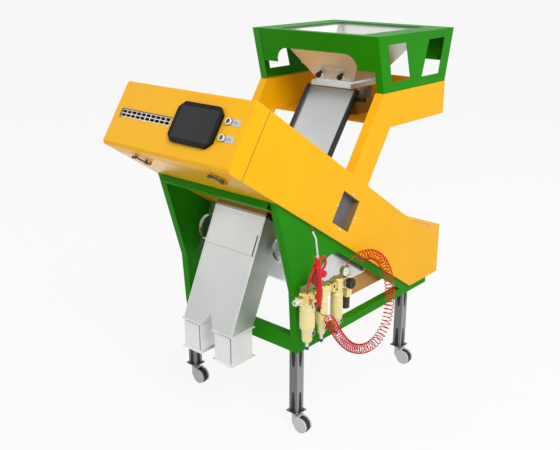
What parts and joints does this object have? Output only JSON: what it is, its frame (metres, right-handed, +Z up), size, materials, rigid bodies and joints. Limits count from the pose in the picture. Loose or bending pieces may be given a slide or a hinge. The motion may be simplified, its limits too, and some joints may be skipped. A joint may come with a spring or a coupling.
{
  "type": "optical colour sorter",
  "caption": "Chute-type optical grain sorter: tilted yellow sorting head with touchscreen, hopper on side arms, split outlet chute, green castor stand and air unit with blow gun.",
  "frame": {"origin": "on the floor under the machine's mid-plane, halfway between the front of the sorting head and the back of the hopper rim", "axes": "+X to the operator's right, +Y from the operator towards the back, +Z up"},
  "size_m": [0.861, 1.5535, 1.712],
  "materials": {
    "green_paint": "semi-gloss powder coat",
    "yellow_paint": "semi-gloss powder coat",
    "leg_aluminium": "matt anodised profile",
    "dark_steel": "blackened steel",
    "castor_grey": "moulded hood",
    "wheel_rubber": "moulded wheel with a black tread",
    "screen_plastic": "fine textured black",
    "screen_glass": "glossy dark screen",
    "vent_metal": "satin aluminium",
    "stop_red": "moulded cap",
    "start_green": "moulded cap",
    "ring_white": "moulded ring",
    "legend_grey": "brushed plate",
    "filter_grey": "dark filter mat",
    "bright_clip": "bright clip",
    "camera_black": "black anodised",
    "lamp_white": "diffuser",
    "valve_aluminium": "machined",
    "stainless": "brushed stainless sheet",
    "black_plastic": "moulded knob",
    "drive_black": "black coated casting",
    "rail_black": "black anodised extrusion",
    "bracket_steel": "plated steel",
    "air_brass": "cream coated die casting",
    "gauge_black": "black case",
    "fitting_steel": "plated fitting",
    "gun_red": "red moulding",
    "nozzle_chrome": "bright tube",
    "hose_red": "red polyurethane coil"
  },
  "bodies": {
    "machine": {"base_frame": "green_paint", "base_panel_left": "green_paint", "base_panel_right": "green_paint", "legs": "leg_aluminium", "foot_plates": "dark_steel", "side_panel_left": "yellow_paint", "side_panel_right": "yellow_paint", "arm_box_left": "yellow_paint", "arm_box_right": "yellow_paint", "top_cover": "yellow_paint", "bottom_cover": "yellow_paint", "filter_mats": "filter_grey", "window_clips": "bright_clip", "cameras": "camera_black", "lamp_bars": "lamp_white", "ejector_bar": "valve_aluminium", "hopper_shell": "green_paint", "hopper_funnel": "stainless", "feeder_springs": "dark_steel", "feeder_drive": "drive_black", "feeder_deck": "yellow_paint", "feed_chute": "stainless", "chute_rails": "rail_black", "outlet_chute": "stainless", "outlet_boxes": "stainless", "collector_box": "stainless", "air_bracket": "bracket_steel", "air_manifold": "air_brass", "filter_bowls": "air_brass", "pressure_gauge": "gauge_black", "air_fittings": "fitting_steel", "gun_body": "gun_red", "gun_nozzle": "nozzle_chrome", "spiral_hose": "hose_red"},
    "front_cover": {"front_cover": "yellow_paint", "screen_bezel": "screen_plastic", "screen_glass": "screen_glass", "vent_grille": "vent_metal", "button_rings": "ring_white", "legend_plates": "legend_grey"},
    "stop_button": {"stop_button": "stop_red"},
    "start_button": {"start_button": "start_green"},
    "rear_cover": {"rear_cover": "yellow_paint"},
    "latch_left": {"latch_left": "dark_steel"},
    "latch_right": {"latch_right": "dark_steel"},
    "feed_gate": {"feed_gate": "stainless"},
    "gate_knob_left": {"gate_knob_left": "black_plastic"},
    "gate_knob_right": {"gate_knob_right": "black_plastic"},
    "feeder_tray": {"feeder_tray": "stainless"},
    "regulator_knob": {"regulator_knob": "black_plastic"},
    "gun_lever": {"gun_lever": "gun_red"},
    "castor_fl": {"castor_fork_fl": "castor_grey"},
    "wheel_fl": {"castor_wheel_fl": "wheel_rubber"},
    "castor_fr": {"castor_fork_fr": "castor_grey"},
    "wheel_fr": {"castor_wheel_fr": "wheel_rubber"},
    "castor_bl": {"castor_fork_bl": "castor_grey"},
    "wheel_bl": {"castor_wheel_bl": "wheel_rubber"},
    "castor_br": {"castor_fork_br": "castor_grey"},
    "wheel_br": {"castor_wheel_br": "wheel_rubber"}
  },
  "joints": [
    {"name": "castor_swivel_fl", "type": "hinge", "parent": "machine", "child": "castor_fl", "pos_m": [-0.3325, -0.3505, 0.09], "axis": [0, 0, 1], "continuous": true},
    {"name": "castor_roll_fl", "type": "hinge", "parent": "castor_fl", "child": "wheel_fl", "pos_m": [-0.2945, -0.3505, 0.0375], "axis": [0, 1, 0], "continuous": true},
    {"name": "castor_swivel_fr", "type": "hinge", "parent": "machine", "child": "castor_fr", "pos_m": [0.3325, -0.3505, 0.09], "axis": [0, 0, 1], "continuous": true},
    {"name": "castor_roll_fr", "type": "hinge", "parent": "castor_fr", "child": "wheel_fr", "pos_m": [0.3705, -0.3505, 0.0375], "axis": [0, 1, 0], "continuous": true},
    {"name": "castor_swivel_bl", "type": "hinge", "parent": "machine", "child": "castor_bl", "pos_m": [-0.3325, 0.491, 0.09], "axis": [0, 0, 1], "continuous": true},
    {"name": "castor_roll_bl", "type": "hinge", "parent": "castor_bl", "child": "wheel_bl", "pos_m": [-0.2945, 0.491, 0.0375], "axis": [0, 1, 0], "continuous": true},
    {"name": "castor_swivel_br", "type": "hinge", "parent": "machine", "child": "castor_br", "pos_m": [0.3325, 0.491, 0.09], "axis": [0, 0, 1], "continuous": true},
    {"name": "castor_roll_br", "type": "hinge", "parent": "castor_br", "child": "wheel_br", "pos_m": [0.3705, 0.491, 0.0375], "axis": [0, 1, 0], "continuous": true},
    {"name": "front_cover_hinge", "type": "hinge", "parent": "machine", "child": "front_cover", "pos_m": [0, -0.55401, 1.50114], "axis": [-1, 0, 0], "range_deg": [0, 75]},
    {"name": "stop_button_press", "type": "slide", "parent": "front_cover", "child": "stop_button", "axis": [0, 0.832, -0.5548], "range_m": [0, 0.004], "stiffness_N_per_m": 600},
    {"name": "start_button_press", "type": "slide", "parent": "front_cover", "child": "start_button", "axis": [0, 0.832, -0.5548], "range_m": [0, 0.004], "stiffness_N_per_m": 600},
    {"name": "rear_cover_hinge", "type": "hinge", "parent": "machine", "child": "rear_cover", "pos_m": [0, 0.671, 0.7115], "axis": [1, 0, 0], "range_deg": [0, 70]},
    {"name": "latch_left_turn", "type": "hinge", "parent": "machine", "child": "latch_left", "pos_m": [-0.225, -0.67277, 1.21313], "axis": [1, 0, 0], "range_deg": [0, 75]},
    {"name": "latch_right_turn", "type": "hinge", "parent": "machine", "child": "latch_right", "pos_m": [0.225, -0.67277, 1.21313], "axis": [1, 0, 0], "range_deg": [0, 75]},
    {"name": "feed_gate_lift", "type": "slide", "parent": "machine", "child": "feed_gate", "axis": [0, -0.5456, 0.838], "range_m": [0, 0.03]},
    {"name": "gate_knob_left_turn", "type": "hinge", "parent": "machine", "child": "gate_knob_left", "pos_m": [-0.064, 0.2911, 1.51018], "axis": [0, -0.838, -0.5456], "range_deg": [0, 720]},
    {"name": "gate_knob_right_turn", "type": "hinge", "parent": "machine", "child": "gate_knob_right", "pos_m": [0.064, 0.2911, 1.51018], "axis": [0, -0.838, -0.5456], "range_deg": [0, 720]},
    {"name": "feeder_shake", "type": "slide", "parent": "machine", "child": "feeder_tray", "axis": [0, 1, 0], "range_m": [-0.0015, 0.0015], "stiffness_N_per_m": 60000},
    {"name": "regulator_turn", "type": "hinge", "parent": "machine", "child": "regulator_knob", "pos_m": [0.428, -0.12, 0.676], "axis": [1, 0, 0], "range_deg": [-360, 360]},
    {"name": "gun_lever_squeeze", "type": "hinge", "parent": "machine", "child": "gun_lever", "pos_m": [0.463, -0.397, 0.842], "axis": [1, 0, 0], "range_deg": [0, 12], "stiffness_Nm_per_rad": 1.2}
  ]
}
